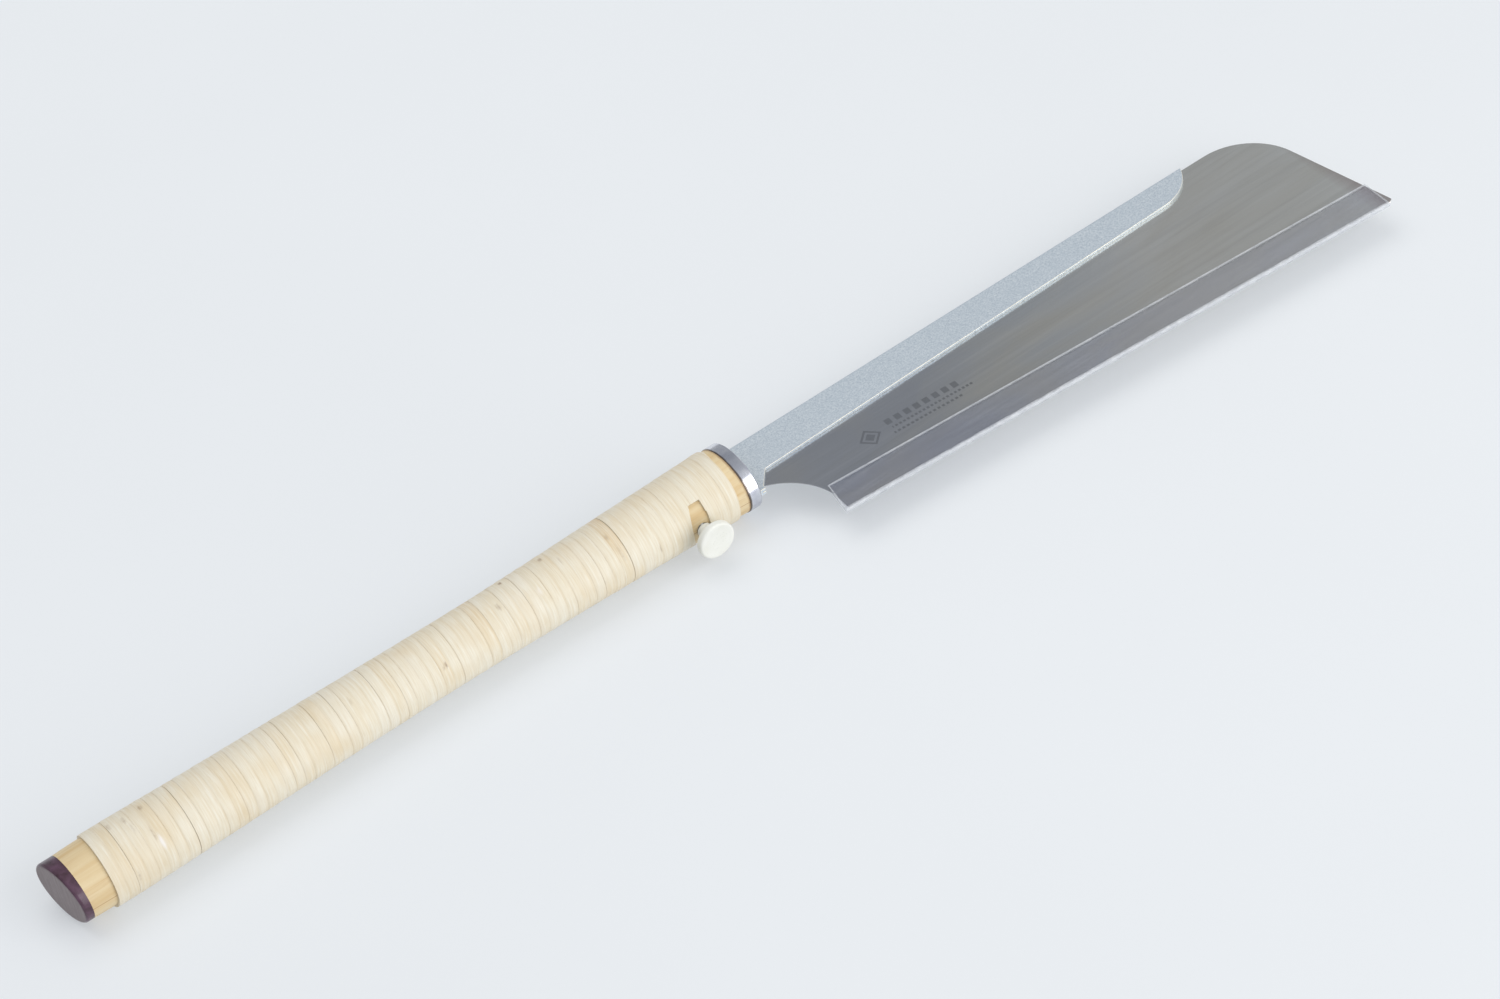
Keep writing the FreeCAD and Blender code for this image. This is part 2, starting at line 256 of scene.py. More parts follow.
def hardware_look():
    """Zinc-plated steel of the hidden fittings."""
    look = Look("zinc_hardware", srgb(176, 178, 178), metallic=1.0, roughness=0.34)
    cloud = look.noise((260, 260, 260), detail=4)
    look.use("Base Color", look.ramp(cloud, (0.3, srgb(150, 152, 152)), (0.7, srgb(194, 196, 194))))
    look.use("Roughness", look.span(cloud, 0.3, 0.7, 0.28, 0.46))
    look.bump(look.noise((1500, 1500, 1500), detail=2), 0.01 * MM)
    return look.material


def cap_look():
    """Dark purple-brown moulded plastic, glossy on the side and scuffed on the end face."""
    look = Look("cap_plastic", srgb(70, 48, 56), roughness=0.28)
    mottle = look.noise((220, 220, 220), detail=4, distort=0.4)
    scuffs = look.noise((300, 1400, 90), detail=5, distort=1.2)
    facing = look.node("SeparateXYZ", [("Vector", look.normal())]).outputs["X"]
    on_end = look.span(facing, -0.985, -0.8, 1.0, 0.0)
    side = look.ramp(mottle, (0.3, srgb(56, 33, 42)), (0.7, srgb(92, 64, 84)))
    worn = look.ramp(scuffs, (0.35, srgb(116, 103, 105)), (0.7, srgb(140, 128, 129)))
    look.use("Base Color", look.mix(on_end, side, worn))
    look.use("Roughness", look.span(on_end, 0.0, 1.0, 0.24, 0.5))
    look.bump(scuffs, 0.02 * MM)
    look.bump(mottle, 0.04 * MM)
    return look.material


# The etched mark: its middle from the ferrule's front and the handle's axis, the diamond's ring and core,
# and its rows of dashes as start and stop along the teeth, low and high across them, and pitch, in mm
MARK_MIDDLE = Vector((FERRULE_FRONT + 45 * MM, AXIS_Y - 19.5 * MM, 0))
MARK_RING = (3.4 * MM, 4.6 * MM)
MARK_CORE = 2.2 * MM
MARK_ROWS = ((8, 40, 1.2, 4.2, 4.1), (9, 44, -1.4, -0.3, 1.7), (8, 38, -4.2, -3.1, 1.9))
DASH_SHARE = 0.6


def etching(look):
    """Where the blade is etched near its heel: a plain diamond and three rows of plain dashes."""
    place = look.node("TexCoord").outputs["Object"]
    along = look.maths("SUBTRACT", look.dot(place, ALONG), MARK_MIDDLE.dot(ALONG))
    inward = look.maths("SUBTRACT", look.dot(place, INWARD), MARK_MIDDLE.dot(INWARD))

    def between(value, low, high):
        above = look.maths("GREATER_THAN", value, low)
        return look.maths("MULTIPLY", above, look.maths("LESS_THAN", value, high))

    out = look.maths("ADD", look.maths("ABSOLUTE", along), look.maths("ABSOLUTE", inward))
    total = look.maths("ADD", between(out, *MARK_RING), look.maths("LESS_THAN", out, MARK_CORE))
    for start, stop, low, high, pitch in MARK_ROWS:
        lengthways = between(along, start * MM, stop * MM)
        row = look.maths("MULTIPLY", lengthways, between(inward, low * MM, high * MM))
        part = look.maths("FRACT", look.maths("DIVIDE", along, pitch * MM))
        dashes = look.maths("MULTIPLY", row, look.maths("LESS_THAN", part, DASH_SHARE))
        total = look.maths("ADD", total, dashes)
    return total


def blade_look():
    """Ground thin steel: fine lines along the blade, cloudy stains, warmer and brighter towards the toe."""
    tone_start = 60 * MM  # from the end of the tang
    tint_start, tint_full = 9 * MM, 3 * MM  # from the toe
    look = Look("blade_steel", srgb(190, 190, 188), metallic=1.0, roughness=0.22)
    low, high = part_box("saw_blade")
    lines = look.noise((26, 4200, 26), detail=3)
    stain = look.noise((14, 34, 14), detail=4, distort=0.8)
    place = look.coordinate("X")
    run = look.span(place, low.x + tone_start, high.x, 0.0, 1.0)
    run = look.maths("ADD", run, look.span(stain, 0.3, 0.7, -0.1, 0.1))
    body = look.ramp(
        run,
        (0.0, srgb(170, 173, 179)), (0.3, srgb(188, 191, 193)), (0.6, srgb(212, 212, 208)),
        (1.0, srgb(218, 219, 215)),
    )
    streaks = look.noise((11, 360, 11), detail=4, distort=0.3)
    body = look.mix(look.span(stain, 0.42, 0.7, 0.0, 0.45), body, srgb(190, 184, 168))
    body = look.mix(look.span(streaks, 0.3, 0.55, 0.16, 0.0), body, srgb(158, 158, 154))
    body = look.mix(look.span(streaks, 0.55, 0.75, 0.0, 0.18), body, srgb(222, 222, 218))
    body = look.mix(look.span(lines, 0.35, 0.75, 0.0, 0.12), body, srgb(225, 226, 228))
    toe = look.span(place, high.x - tint_start, high.x - tint_full, 0.0, 0.5)
    body = look.mix(toe, body, srgb(170, 152, 150))
    worn = look.span(stain, 0.3, 0.7, 0.3, 0.6)
    body = look.mix(look.maths("MULTIPLY", etching(look), worn), body, srgb(96, 98, 102))
    look.use("Base Color", body)
    look.use("Roughness", look.span(lines, 0.3, 0.7, 0.18, 0.27))
    look.bump(lines, 0.002 * MM)
    return look.material


def spine_look():
    """Galvanised sheet: matt blue-grey zinc with a fine speckle, and bare metal at the cut edges, painted
    near-white as a highlight.
    """
    look = Look("galvanised_sheet", srgb(190, 200, 208), metallic=0.6, roughness=0.5)
    speckle = look.noise((1900, 1900, 1900), detail=3)
    cloud = look.noise((60, 140, 140), detail=4)
    body = look.ramp(
        speckle, (0.3, srgb(188, 199, 209)), (0.5, srgb(208, 218, 226)), (0.72, srgb(232, 239, 244)),
    )
    body = look.mix(look.span(cloud, 0.4, 0.75, 0.0, 0.3), body, srgb(202, 213, 222))
    # Bare metal at the cut edges, with a painted highlight: the rounded edges are painted near-white cream.
    bare_edge_and_highlight = look.maths("MULTIPLY", look.attribute("edge"), look.span(cloud, 0.3, 0.6, 0.6, 1.0))
    body = look.mix(bare_edge_and_highlight, body, srgb(252, 243, 222))
    look.use("Base Color", body)
    look.use("Roughness", look.span(speckle, 0.3, 0.7, 0.58, 0.42))
    look.bump(speckle, 0.015 * MM)
    return look.material


def knob_look():
    """Cream-white moulded plastic with a faint grain."""
    look = Look("knob_plastic", srgb(226, 226, 219), roughness=0.3)
    grain = look.noise((900, 900, 900), detail=3)
    cloud = look.noise((120, 120, 120), detail=3)
    body = look.ramp(cloud, (0.35, srgb(223, 223, 214)), (0.7, srgb(231, 231, 225)))
    look.use("Base Color", body)
    look.use("Roughness", look.span(grain, 0.3, 0.7, 0.26, 0.38))
    look.bump(grain, 0.012 * MM)
    return look.material


def guard_look():
    """Clear plastic, slightly violet, with long scuffs and a few cloudy patches."""
    look = Look("guard_clear", srgb(186, 190, 204), roughness=0.15, alpha=0.2)
    scuffs = look.noise((40, 700, 700), detail=4, distort=0.3)
    cloud = look.noise((22, 60, 60), detail=3)
    body = look.mix(look.span(scuffs, 0.55, 0.75, 0.0, 0.6), srgb(162, 166, 186), srgb(200, 204, 214))
    look.use("Base Color", body)
    haze = look.maths("ADD", look.span(scuffs, 0.5, 0.75, 0.07, 0.14), look.span(cloud, 0.55, 0.8, 0.0, 0.07))
    look.use("Alpha", haze)
    look.use("Roughness", look.span(scuffs, 0.4, 0.7, 0.1, 0.3))
    look.bump(scuffs, 0.01 * MM)
    return look.material


def guard_edge_look():
    """Cut and folded edges of the clear plastic, where it looks white."""
    look = Look("guard_edge", srgb(220, 223, 230), roughness=0.25, alpha=0.55)
    nicks = look.noise((240, 900, 900), detail=4)
    look.use("Base Color", look.ramp(nicks, (0.3, srgb(206, 210, 218)), (0.7, srgb(228, 231, 235))))
    look.use("Alpha", look.span(nicks, 0.3, 0.75, 0.28, 0.5))
    look.bump(nicks, 0.01 * MM)
    return look.material


def floor_look():
    """Pale matt tabletop of opal sheet, lit faintly from below, which keeps the shadows light."""
    look = Look("tabletop", srgb(174, 176, 178), roughness=0.75)
    look.shader.inputs["Emission Color"].default_value = (0.355, 0.372, 0.39, 1)
    look.shader.inputs["Emission Strength"].default_value = 1.0
    cloud = look.noise((3, 3, 3), detail=3)
    look.use("Base Color", look.ramp(cloud, (0.3, srgb(171, 173, 175)), (0.7, srgb(174, 176, 178))))
    look.use("Roughness", look.span(cloud, 0.3, 0.7, 0.7, 0.8))
    return look.material


LOOKS = {
    "cane": cane_look(), "wood": wood_look(), "plated": plated_look(), "hardware": hardware_look(),
    "cap": cap_look(), "blade": blade_look(), "spine": spine_look(), "knob": knob_look(),
    "guard": guard_look(), "guard_edge": guard_edge_look(), "floor": floor_look(),
}


# ---- Making pieces

def new_piece(name, mesh, body, slot, *looks, smooth_angle=35):
    """Puts a mesh in the scene as a piece that rides on a body and takes its finish from the looks it is given;
    its slot is not used.
    """
    piece = bpy.data.objects.new(name, mesh)
    bpy.context.scene.collection.objects.link(piece)
    for look in looks:
        mesh.materials.append(LOOKS[look])
    mesh.shade_smooth()
    mesh.set_sharp_from_angle(angle=math.radians(smooth_angle))
    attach(piece, body)
    return piece


def mesh_from(name, vertices, faces):
    mesh = bpy.data.meshes.new(name)
    mesh.from_pydata([tuple(v) for v in vertices], [], faces)
    mesh.validate()
    return mesh


def tidied(mesh):
    """The mesh without its loose points and its edges and faces of no size."""
    build = bmesh.new()
    build.from_mesh(mesh)
    bmesh.ops.dissolve_degenerate(build, dist=0.004 * MM, edges=build.edges)
    bmesh.ops.delete(build, geom=[v for v in build.verts if not v.link_faces], context="VERTS")
    build.to_mesh(mesh)
    build.free()
    return mesh


def softened(node, body, slot, look, width):
    """A CAD node's shape with its sharp edges rounded off and marked (the spine's finish paints them as bare
    metal with a painted highlight), in place of the node.
    """
    build = bmesh.new()
    build.from_mesh(frame["nodes"][node].data)
    bmesh.ops.remove_doubles(build, verts=build.verts, dist=WELD)
    bmesh.ops.dissolve_limit(build, angle_limit=math.radians(1), verts=build.verts, edges=build.edges)
    # Marks the rounded faces; the spine's finish paints them as bare metal with a painted highlight.
    worn = build.faces.layers.float.new("edge")
    sharp = [e for e in build.edges if len(e.link_faces) == 2 and e.calc_face_angle() > math.radians(40)]
    rounded = bmesh.ops.bevel(
        build, geom=sharp, offset=width, segments=2, affect="EDGES", profile=0.5, clamp_overlap=True,
    )
    for face in rounded["faces"]:
        face[worn] = 1.0
    mesh = bpy.data.meshes.new(node + "_shape")
    build.to_mesh(mesh)
    build.free()
    piece = new_piece(node + "_detail", mesh, body, slot, look)
    weights = piece.modifiers.new("flat_faces_stay_flat", "WEIGHTED_NORMAL")
    weights.weight, weights.keep_sharp = 100, True
    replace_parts(piece, node)


def grid_faces(rows, columns, closed_rows=False):
    """Quads of a grid of points, row by row, that is closed along each row."""
    faces = []
    for i in range(rows if closed_rows else rows - 1):
        below, above = i * columns, (i + 1) % rows * columns
        for j in range(columns):
            k = (j + 1) % columns
            faces.append((below + j, below + k, above + k, above + j))
    return faces


# ---- Cane strip

CANE_THICKNESS = 1.05 * MM
STRIP_PITCH = 3.9 * MM
STRIP_EDGE = 0.91 * MM  # thickness at the strip's edges
STRIP_UNDERSIDE = 0.02 * MM  # height of its flat underside over the wood
STRIP_LEAST = 0.25 * MM  # a narrower remnant is left out
STRIP_GAP = 0.03 * MM
STRIP_RADIUS = 13.5 * MM  # mean radius of the wound strip, for lengths along it
SEAM_REACH = (0.2 * MM, 0.27 * MM, 0.14 * MM, 0.0)  # how far each last turn reaches into the CAD gap
STRIP_FIRST = 0.5 * MM  # the first turn's middle stands this far inside the CAD sleeve's end
STEPS_PER_TURN = 96
ACROSS = np.array((-1.0, -0.97, -0.85, -0.65, -0.4, -0.13, 0.13, 0.4, 0.65, 0.85, 0.97, 1.0))
WRAPS = ("rattan_wrap_butt", "rattan_wrap_rear", "rattan_wrap_middle", "rattan_wrap_front")
WINDOW_TOP = -9.3 * MM  # the window for the clamp screw: its edges from the handle's and the screw's axes
WINDOW_FRONT = 3.0 * MM
WINDOW_REAR = ((-14.5 * MM, -4.4 * MM), (-9.3 * MM, -1.6 * MM))  # slanting rear edge as (y, x) pairs
WINDOW_ZONE = 8 * MM  # no handle size is felt this close to the screw's axis
END_TURN = (-0.9, -0.75, -0.5, -0.44, -0.39, -0.25, 0)  # turns before the end of the front wrap's last turn
END_REACH = (0, 0.1, 0.7, 1.3, 2.2, 2.4, -1.0)  # and how far its front edge reaches there, in mm


def wrapped_sizes():
    """Middle, half width and half thickness of the wrapped handle along X, felt on the CAD sleeves."""
    rows = []
    outside, inset = 0.1, 0.1 * MM
    for node in WRAPS:
        mesh = frame["nodes"][node].data
        tree = BVHTree.FromPolygons([v.co for v in mesh.vertices], [p.vertices for p in mesh.polygons])
        low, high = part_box(node)
        for x in np.linspace(low.x + inset, high.x - inset, 14):
            if abs(x - SCREW_X) < WINDOW_ZONE:
                continue
            back = tree.ray_cast(Vector((x, AXIS_Y + outside, AXIS_Z)), Vector((0, -1, 0)))[0].y
            front = tree.ray_cast(Vector((x, AXIS_Y - outside, AXIS_Z)), Vector((0, 1, 0)))[0].y
            middle = (back + front) / 2
            top = tree.ray_cast(Vector((x, middle, AXIS_Z + outside)), Vector((0, 0, -1)))[0].z
            rows.append((x, middle, (back - front) / 2, top - AXIS_Z))
    return np.array(rows).T


SIZES = wrapped_sizes()


def handle_points(x, turn, rise):
    """Points over the wooden core at a height; turn 0 is the tooth side and a quarter is the top."""
    middle, half_width, half_height = (np.interp(x, SIZES[0], size) for size in SIZES[1:])
    angle = 2 * math.pi * turn
    y = middle - (half_width - CANE_THICKNESS + rise) * np.cos(angle)
    return np.stack([x, y, AXIS_Z + (half_height - CANE_THICKNESS + rise) * np.sin(angle)], -1)


def drift(travelled, spacing, seed):
    """Smooth seeded wander between -1 and 1 along a strip."""
    place = travelled / spacing
    knots = np.random.default_rng(seed).uniform(-1, 1, int(place.max()) + 3)
    whole = place.astype(int)
    blend = place - whole
    blend = blend * blend * (3 - 2 * blend)
    return knots[whole] * (1 - blend) + knots[whole + 1] * blend


# Scars and rubs of the cane: mm behind the ferrule's front, degrees from the tooth side over the top,
# length round the handle and width along it in mm, and darkness (below 0 for a pale rub)
MARKS = (
    (256.5, 104, 3.0, 0.9, 0.45), (251.0, 99, 2.6, 1.0, 0.55), (250.6, 80, 4.0, 0.5, 0.35),
    (244.0, 104, 2.4, 1.0, 0.7), (246.0, 56, 5.0, 0.5, 0.5), (245.0, 40, 4.5, 1.3, -0.8),
    (257.0, 12, 3.6, 0.5, 0.4), (165.0, 70, 3.0, 0.8, 0.3), (130.3, 38, 2.4, 0.7, 0.95),
    (131.4, 35, 1.2, 0.5, 0.5), (103.0, 74, 2.6, 1.0, 0.6), (96.0, 118, 2.0, 1.0, 0.9),
    (79.6, 112, 2.2, 0.9, 0.9), (75.0, 86, 3.4, 0.6, 0.35), (57.0, 76, 2.6, 0.9, 0.4),
    (56.2, 42, 6.0, 0.8, 0.35), (42.6, 18, 4.4, 0.3, 0.75), (88.0, 60, 3.0, 1.2, -0.4),
    (205.0, 200, 3.0, 1.0, 0.5), (110.0, 250, 2.4, 0.8, 0.6), (25.0, 220, 3.0, 0.8, 0.5),
)


def marks_at(points, turn):
    """Darkness of the scars at points of the cane's skin that lie at these turns."""
    total = np.zeros(len(points))
    degrees = (turn % 1.0) * 360
    for behind, around, length, width, depth in MARKS:
        apart = (degrees - around + 180) % 360 - 180
        round_way = np.radians(apart) * STRIP_RADIUS / (length * MM / 2)
        along_way = (points[:, 0] - FERRULE_FRONT + behind * MM) / (width * MM / 2)
        total += depth * np.clip(1.6 - np.hypot(round_way, along_way), 0, 1)
    return np.clip(total, -1, 1)


def strip_path(node, turns):
    """Distances travelled along a strip, in turns, with extra ones where the window's edge crosses it."""
    travelled = np.arange(turns * STEPS_PER_TURN + 1) / STEPS_PER_TURN
    if node != "rattan_wrap_front":
        return travelled, None
    middle, half_width, _ = (np.interp(SCREW_X, SIZES[0], size) for size in SIZES[1:])
    opening = math.acos((middle - AXIS_Y - WINDOW_TOP) / half_width) / (2 * math.pi)
    extra = [turn + 0.25 + side * opening + step for turn in range(turns) for side in (-1, 1)
             for step in (-1e-5, 1e-5)]
    travelled = np.sort(np.concatenate([travelled, extra]))
    beside = middle - AXIS_Y - half_width * np.cos(2 * math.pi * (travelled - 0.25))
    return travelled, beside


def strip_faces(shown, columns):
    """Faces of a ribbon that is cut off, with closed ends, wherever a row of its points isn't shown."""
    faces = []
    for i in range(len(shown)):
        ring = [i * columns + j for j in range(columns)]
        if shown[i] and (i == 0 or not shown[i - 1]):
            faces.append(tuple(ring[::-1]))
        if shown[i] and (i + 1 == len(shown) or not shown[i + 1]):
            faces.append(tuple(ring))
        elif shown[i]:
            for j in range(columns):
                k = (j + 1) % columns
                faces.append((ring[j], ring[k], ring[k] + columns, ring[j] + columns))
    return faces


def strip_edges(node, index, turns, pitch, travelled, beside):
    """Middle, half width, front edge and rear edge of a strip, in metres, all along its length."""
    calm = np.clip(np.minimum(travelled, turns - travelled) - 0.9, 0, 1)  # no wander beside the seams
    low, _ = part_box(node)
    middle = low.x + STRIP_FIRST + pitch * travelled + 0.05 * MM * calm * drift(travelled, 0.5, index)
    half = (pitch - STRIP_GAP) / 2 * (1 + 0.012 * calm * drift(travelled, 0.3, index + 10))
    front = middle + half
    rear = middle - half
    if node != "rattan_wrap_front":
        front += SEAM_REACH[index] * np.clip(8 * (travelled - turns + 1), 0, 1)
    else:  # the last turn narrows towards its tucked-in end
        front += MM * np.interp(travelled - turns, END_TURN, END_REACH)
        window_rear = SCREW_X + np.interp(beside, *zip(*WINDOW_REAR))
        window_front = SCREW_X + WINDOW_FRONT
        cut = (beside < WINDOW_TOP) & (front > window_rear) & (rear < window_front)
        behind = middle < (window_rear + window_front) / 2
        front = np.where(cut & behind, np.minimum(front, window_rear), front)
        rear = np.where(cut & ~behind, np.maximum(rear, window_front), rear)
    return middle, half, front, rear


def cane_wrap(node, index):
    """One length of strip wound round the core, as a domed ribbon that follows its helix."""
    low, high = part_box(node)
    turns = round((high.x - low.x) / STRIP_PITCH)
    pitch = (high.x - low.x) / turns
    travelled, beside = strip_path(node, turns)
    turn = travelled - 0.25  # the strip starts and ends under the handle
    middle, half, front, rear = strip_edges(node, index, turns, pitch, travelled, beside)
    crown = CANE_THICKNESS * (0.94 + 0.06 * drift(travelled, 0.8, index + 20))

    x = np.clip(middle[:, None] + half[:, None] * ACROSS * 1.2, rear[:, None], front[:, None])
    across = (x - middle[:, None]) / half[:, None]
    dome = 1 - np.abs(np.clip(across, -1, 1)) ** 2.6
    rise = STRIP_EDGE + (crown[:, None] - STRIP_EDGE) * dome
    x = np.concatenate([x, front[:, None], rear[:, None]], 1)
    rise = np.concatenate([rise, np.full((len(x), 2), STRIP_UNDERSIDE)], 1)
    across = np.concatenate([across, across[:, -1:], across[:, :1]], 1)
    columns = len(ACROSS) + 2
    turn_grid = np.repeat(turn, columns)
    points = handle_points(x.ravel(), turn_grid, rise.ravel())

    shown = front - rear > STRIP_LEAST
    mesh = mesh_from(node + "_strip", points, strip_faces(shown, columns))

    tone = 0.56 + 0.13 * drift(travelled, 0.8, index + 30) + 0.14 * drift(travelled, 0.11, index + 40)
    if node in ("rattan_wrap_rear", "rattan_wrap_middle"):
        tone -= 0.42 * np.clip(travelled - turns + 1.1, 0, 0.8)
    length = travelled * 2 * math.pi * STRIP_RADIUS
    values = {
        "tone": np.repeat(tone, columns),
        "edge": np.abs(np.clip(across, -1, 1)).ravel() ** 6,
        "mark": marks_at(points, turn_grid),
    }
    for name, numbers in values.items():
        mesh.attributes.new(name, "FLOAT", "POINT").data.foreach_set("value", numbers)
    corners = np.empty(len(mesh.loops), dtype=int)
    mesh.loops.foreach_get("vertex_index", corners)
    flat = np.stack([np.repeat(length, columns), (across * half[:, None]).ravel()], -1)
    mesh.uv_layers.new(name="strip").data.foreach_set("uv", flat[corners].ravel())
    name = node.replace("rattan", "cane") + "_strip"
    piece = new_piece(name, tidied(mesh), "handle", "rattan", "cane", smooth_angle=60)
    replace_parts(piece, node)


# ---- Round pieces

def oval_ring(name, profile, half_width, half_height, count=160):
    """Ring round the handle from a closed profile of (x, growth outwards) pairs."""
    points = []
    for i in range(count):
        angle = 2 * math.pi * i / count
        for x, grow in profile:
            y = AXIS_Y - (half_width + grow) * math.cos(angle)
            points.append((x, y, AXIS_Z + (half_height + grow) * math.sin(angle)))
    return mesh_from(name, points, grid_faces(count, len(profile), closed_rows=True))


def make_ferrule():
    """Oval ring with a rolled front lip and a thin turned-in rear edge."""
    low, high = ferrule_low, ferrule_high
    length, wall = high.x - low.x, 0.6 * MM
    half_width, half_height = (high.y - low.y) / 2, (high.z - low.z) / 2
    rear_step, rear_round = 0.22 * MM, 0.3 * MM
    belly, front_round = 0.06 * MM, 0.55 * MM
    profile = [(low.x, -wall), (low.x, -rear_step)]
    for i in range(7):
        angle = math.pi / 2 * i / 6
        grow = -rear_step + (rear_step - belly) * math.sin(angle)
        profile.append((low.x + rear_round * (1 - math.cos(angle)), grow))
    profile += [(low.x + length * f, -belly + belly * math.sin(math.pi * f)) for f in (0.25, 0.5, 0.75)]
    for i in range(9):
        angle = math.pi / 2 * i / 8
        profile.append((high.x - front_round * (1 - math.sin(angle)), -front_round * (1 - math.cos(angle))))
    profile.append((high.x - 0.1 * MM, -wall))
    mesh = oval_ring("ferrule_ring", profile, half_width, half_height)
    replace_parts(new_piece("ferrule_detail", mesh, "handle", "ferrule_steel", "plated"), "ferrule")


def screw_ring(y, radii):
    """Points round the clamp screw's axis, one for each radius."""
    angles = (2 * math.pi * i / len(radii) for i in range(len(radii)))
    return [(SCREW_X + r * math.cos(a), y, AXIS_Z + r * math.sin(a)) for r, a in zip(radii, angles)]


def turned(name, profile, count=112):
    """Solid turned about the clamp screw's axis, from (y, radius) pairs that start and end on the axis."""
    points = [(SCREW_X, profile[0][0], AXIS_Z)]
    rings = profile[1:-1]
    for y, radius in rings:
        points += screw_ring(y, [radius] * count)
    last = len(points)
    points.append((SCREW_X, profile[-1][0], AXIS_Z))
    faces = [tuple(1 + n for n in face) for face in grid_faces(len(rings), count)]
    for i in range(count):
        j = (i + 1) % count
        faces.append((0, 1 + j, 1 + i))
        faces.append((last, last - count + i, last - count + j))
    return mesh_from(name, points, faces)


def make_knob():
    """Plastic disc moulded on the screw: a soft rim, a shallow dished face and a hub."""
    low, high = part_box("clamp_knob")
    radius = (high.x - low.x) / 2
    face, thickness, hub = low.y, 2.8 * MM, 2.8 * MM
    rim, back_rim, dish, hub_chamfer = 0.85 * MM, 0.6 * MM, 0.16 * MM, 0.3 * MM
    profile = [(face + dish, 0), (face + dish, radius - 2.6 * MM)]
    profile += [(face + 0.1 * MM, radius - 2.0 * MM), (face, radius - 1.4 * MM)]
    for i in range(9):
        angle = math.pi / 2 * i / 8
        profile.append((face + rim * (1 - math.cos(angle)), radius - rim * (1 - math.sin(angle))))
    profile.append((face + thickness / 2, radius - 0.02 * MM))
    for i in range(7):
        angle = math.pi / 2 * i / 6
        y = face + thickness - back_rim * (1 - math.sin(angle))
        profile.append((y, radius - back_rim * (1 - math.cos(angle))))
    profile += [(face + thickness, hub + 0.5 * MM), (face + thickness + hub_chamfer, hub)]
    profile += [(high.y - hub_chamfer, hub), (high.y, hub - hub_chamfer), (high.y, 0)]
    mesh = turned("knob_disc", profile)
    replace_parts(new_piece("clamp_knob_detail", mesh, "screw", "knob_plastic", "knob"), "clamp_knob")


def make_screw():
    """Clamp screw with its real right-hand thread and a plain point."""
    low, high = screw_low, screw_high
    pitch, depth, major, point = 0.7 * MM, 0.4 * MM, 1.98 * MM, 1.2 * MM
    groove_half, floor_cut = 0.44, 0.88  # the groove's half share of the pitch, and the depth of its flat floor
    point_length, run_out, run_out_drop = 1.75 * MM, 0.6 * MM, 0.5 * MM
    thread_end = high.y - point_length
    count, rows = 40, []
    steps = int((thread_end - low.y) / (pitch / 14))
    for i in range(steps + 1):
        y = low.y + (thread_end - low.y) * i / steps
        fade = min(1.0, (thread_end - y) / run_out)
        phases = ((y / pitch + j / count) % 1.0 for j in range(count))
        cuts = (max(0.0, 1 - abs(phase - 0.5) / groove_half) for phase in phases)
        crest = major - run_out_drop * (1 - fade)
        rows.append(screw_ring(y, [crest - depth * min(cut, floor_cut) for cut in cuts]))
    for y, radius in ((thread_end, point), (high.y - 0.25 * MM, point), (high.y, point - 0.3 * MM)):
        rows.append(screw_ring(y, [radius] * count))
    points = [p for row in rows for p in row]
    faces = grid_faces(len(rows), count)
    faces.append(tuple(range(count))[::-1])
    faces.append(tuple(range(len(points) - count, len(points))))
    mesh = mesh_from("screw_thread", points, faces)
    piece = new_piece("clamp_screw_thread", mesh, "screw", "hardware_steel", "hardware", smooth_angle=50)
    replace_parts(piece, "clamp_screw")


# ---- Blade and guard

def make_blade():
    """The plate with its teeth ground: every tip is bevelled and the tips are set to alternate sides."""
    build = bmesh.new()
    build.from_mesh(frame["nodes"]["saw_blade"].data)
    bmesh.ops.remove_doubles(build, verts=build.verts, dist=WELD)
    tips_at, _ = reach("saw_blade", INWARD)
    start, _ = reach("tooth_guard", ALONG)
    pitch, tip_height, ground_away, tip_set = 1.2 * MM, 0.2 * MM, 0.22 * MM, 0.07 * MM
    for vertex in build.verts:
        if vertex.co.dot(INWARD) > tips_at + tip_height:
            continue
        number = int((vertex.co.dot(ALONG) - start) / pitch)
        side = 1 if number % 2 else -1
        if (vertex.co.z - AXIS_Z) * side < 0:
            vertex.co += INWARD * ground_away
        vertex.co.z += side * tip_set
    mesh = bpy.data.meshes.new("blade_plate")
    build.to_mesh(mesh)
    build.free()
    piece = new_piece("saw_blade_ground", mesh, "blade_unit", "blade_steel", "blade", smooth_angle=20)
    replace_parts(piece, "saw_blade")


def guard_profile():
    """Closed U outline as (inward, across) pairs, with round lips and a round fold, and each side's look."""
    deep, top = reach("tooth_guard", INWARD)
    deep += 0.005 * MM  # keeps the waves of the fold inside the CAD channel
    low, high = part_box("tooth_guard")
    half = (high.z - low.z) / 2
    wall = 0.55 * MM
    inner = half - wall
    lip = wall / 2
    fold_end = deep + half + 0.5 * MM  # the white fold and lip end here
    lip_start = top - 0.6 * MM
    outline = []
    for i in range(7):  # outer fold
        angle = math.pi / 2 * i / 6
        outline.append((deep + half * (1 - math.cos(angle)), half * math.sin(angle), "guard_edge"))
    outline += [(fold_end, half, "guard"), (lip_start, half, "guard_edge")]
    for i in range(5):  # lip
        angle = math.pi * i / 4
        outline.append((top - lip + lip * math.sin(angle), inner + lip + lip * math.cos(angle), "guard_edge"))
    outline += [(lip_start, inner, "guard"), (fold_end, inner, "guard_edge")]
    for i in range(4):  # inner fold
        angle = math.pi / 2 * (1 - i / 4)
        outline.append((deep + wall + inner * (1 - math.cos(angle)), inner * math.sin(angle), "guard_edge"))
    looks = [look for _, _, look in outline[:-1]]
    near = [(n, z) for n, z, _ in outline]
    far = [(n, -z) for n, z in near[:0:-1]]
    return near + [(deep + wall, 0.0)] + far, looks + ["guard_edge"] * 2 + looks[::-1]


